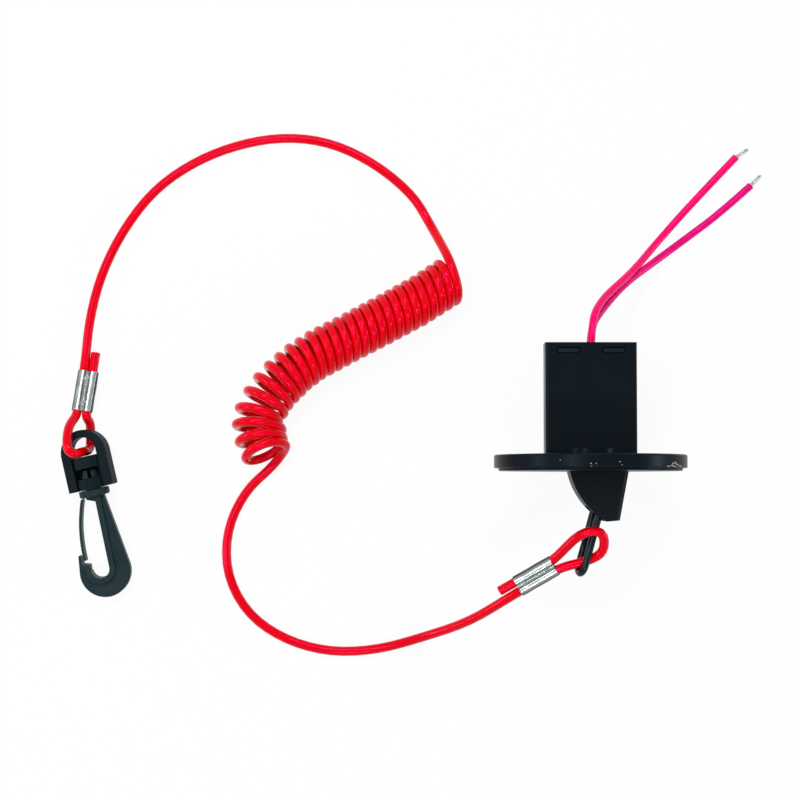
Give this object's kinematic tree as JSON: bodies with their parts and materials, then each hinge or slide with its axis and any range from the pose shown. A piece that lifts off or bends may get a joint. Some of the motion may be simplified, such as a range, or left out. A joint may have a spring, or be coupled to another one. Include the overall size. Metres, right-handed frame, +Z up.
{
  "type": "ignition cut-off switch with lanyard",
  "caption": "Pull-key cut-off switch on a round panel flange, with two lead wires and a coiled lanyard ending in a swivel snap hook.",
  "frame": {"origin": "centre of the flange's back face, where the switch seats on its panel", "axes": "+Y back through the panel into the switch box, the key pulls out to -Y, +Z up from the surface that the lanyard lies on, +X to the right seen from above with -Y towards the viewer"},
  "size_m": [0.2646, 0.1972, 0.0692],
  "materials": {
    "switch_body_black": "smooth satin black moulding",
    "face_plate_black": "satin black",
    "cover_black": "satin black",
    "key_black": "fine matte grain",
    "plunger_white": "natural slippery plastic",
    "bronze": "rolled strip",
    "contact_silver": "silver buttons",
    "terminal_brass": "stamped strip",
    "spring_steel": "drawn wire",
    "lead_red": "pink red insulation, semi gloss",
    "tinned_copper": "twisted tinned strands",
    "ring_black": "black coated steel wire",
    "ferrule_nickel": "nickel plated, crimped",
    "lanyard_red": "glossy bright red",
    "hook_black": "moulded nylon, slight sheen"
  },
  "bodies": {
    "switch": {"housing": "switch_body_black", "face_plate": "face_plate_black", "rear_cover": "cover_black", "terminal_front": "terminal_brass", "terminal_rear": "terminal_brass", "fixed_contacts": "contact_silver", "return_spring": "spring_steel", "lead_wire_1": "lead_red", "lead_wire_2": "lead_red", "lead_core_1": "tinned_copper", "lead_core_2": "tinned_copper"},
    "pull_key": {"key": "key_black"},
    "plunger_set": {"plunger": "plunger_white", "contact_bridge": "bronze", "bridge_contacts": "contact_silver"},
    "lanyard": {"link_ring": "ring_black", "ferrule_switch_end": "ferrule_nickel", "ferrule_hook_end": "ferrule_nickel", "lanyard_cord_switch_end": "lanyard_red", "lanyard_cord_hook_end": "lanyard_red", "lanyard_coil": "lanyard_red", "swivel_eye": "hook_black"},
    "hook": {"snap_hook": "hook_black"},
    "gate": {"hook_gate": "hook_black"}
  },
  "joints": [
    {"name": "key_pull", "type": "slide", "parent": "switch", "child": "pull_key", "axis": [0, -1, 0], "range_m": [0, 0.02]},
    {"name": "plunger_slide", "type": "slide", "parent": "switch", "child": "plunger_set", "axis": [1, 0, 0], "range_m": [0, 0.003], "stiffness_N_per_m": 300, "springref_m": 0.006, "deforming": ["return_spring"]},
    {"name": "lanyard_swing", "type": "hinge", "parent": "pull_key", "child": "lanyard", "pos_m": [0.0036, -0.0153, 0], "axis": [0, 0, 1], "range_deg": [-20, 12]},
    {"name": "hook_swivel", "type": "hinge", "parent": "lanyard", "child": "hook", "pos_m": [-0.1829, -0.0123, -0.0286], "axis": [-0.2159, 0.974, 0.068], "continuous": true},
    {"name": "gate_spring", "type": "hinge", "parent": "hook", "child": "gate", "pos_m": [-0.18697, -0.01657, -0.02882], "axis": [0.0147, -0.0664, 0.9977], "range_deg": [0, 18], "stiffness_Nm_per_rad": 0.05, "springref_deg": -5.73}
  ],
  "couplings": [
    {"joint": "plunger_slide", "follows": "key_pull", "ratio": 0.15}
  ]
}
